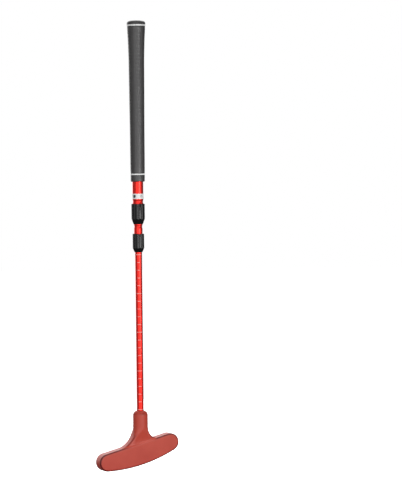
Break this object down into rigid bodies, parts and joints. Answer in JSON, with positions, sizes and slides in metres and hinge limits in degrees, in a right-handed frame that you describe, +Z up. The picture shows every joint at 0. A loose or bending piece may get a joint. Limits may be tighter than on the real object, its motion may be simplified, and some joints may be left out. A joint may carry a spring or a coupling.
{
  "type": "mini golf putter",
  "caption": "Telescopic two-way putter: a tapered rubber grip, sliding aluminium tubes held by twist locks, and a rubber head with two flat striking faces.",
  "frame": {"origin": "middle of the grip, on the shaft's axis", "axes": "+Z up the shaft to the butt of the grip, -X to the toe of the head, +Y and -Y out of the two striking faces"},
  "size_m": [0.1116, 0.024, 0.5781],
  "materials": {
    "grip_rubber": "matte moulded rubber with a fine raised pattern",
    "white_band": "satin white",
    "grip_tape": "paper tape",
    "red_tube": "glossy red anodised",
    "label": "white film label with plain marks",
    "lock_black": "glossy black moulded nylon",
    "lock_jaw": "natural nylon",
    "head_rubber": "satin moulded brick-red rubber",
    "core_steel": "plain machined"
  },
  "bodies": {
    "handle": {"grip_sleeve": "grip_rubber", "grip_cap": "grip_rubber", "grip_upper_band": "white_band", "grip_lower_band": "white_band", "grip_tape": "grip_tape", "upper_tube": "red_tube", "label_band": "label", "upper_lock_body": "lock_black"},
    "upper_jaw": {"upper_lock_jaw": "lock_jaw"},
    "upper_nut": {"upper_lock_nut": "lock_black"},
    "stop_ring": {"middle_stop_ring": "lock_jaw"},
    "middle_section": {"middle_tube": "red_tube", "lower_lock_body": "lock_black"},
    "lower_jaw": {"lower_lock_jaw": "lock_jaw"},
    "lower_nut": {"lower_lock_nut": "lock_black"},
    "guide_plug": {"lower_guide_plug": "lock_jaw"},
    "lower_section": {"lower_tube": "red_tube", "head_shell": "head_rubber", "head_core": "core_steel", "head_pin": "core_steel"}
  },
  "joints": [
    {"name": "upper_lock_travel", "type": "slide", "parent": "handle", "child": "upper_jaw", "axis": [0, 0, -1], "range_m": [0, 0.00075]},
    {"name": "upper_lock_turn", "type": "hinge", "parent": "upper_jaw", "child": "upper_nut", "pos_m": [0, 0, -0.145], "axis": [0, 0, -1], "range_deg": [0, 180]},
    {"name": "middle_slide", "type": "slide", "parent": "handle", "child": "stop_ring", "axis": [0, 0, -1], "range_m": [-0.0112, 0.148]},
    {"name": "middle_twist", "type": "hinge", "parent": "stop_ring", "child": "middle_section", "pos_m": [0, 0, 0.0238], "axis": [0, 0, 1], "continuous": true},
    {"name": "lower_lock_travel", "type": "slide", "parent": "middle_section", "child": "lower_jaw", "axis": [0, 0, -1], "range_m": [0, 0.00075]},
    {"name": "lower_lock_turn", "type": "hinge", "parent": "lower_jaw", "child": "lower_nut", "pos_m": [0, 0, -0.182], "axis": [0, 0, -1], "range_deg": [0, 180]},
    {"name": "lower_slide", "type": "slide", "parent": "middle_section", "child": "guide_plug", "axis": [0, 0, -1], "range_m": [-0.2024, 0]},
    {"name": "lower_twist", "type": "hinge", "parent": "guide_plug", "child": "lower_section", "pos_m": [0, 0, -0.1586], "axis": [0, 0, 1], "continuous": true}
  ],
  "couplings": [
    {"joint": "upper_lock_turn", "follows": "upper_lock_travel", "rad_per_m": 4188.7},
    {"joint": "lower_lock_turn", "follows": "lower_lock_travel", "rad_per_m": 4188.7}
  ]
}
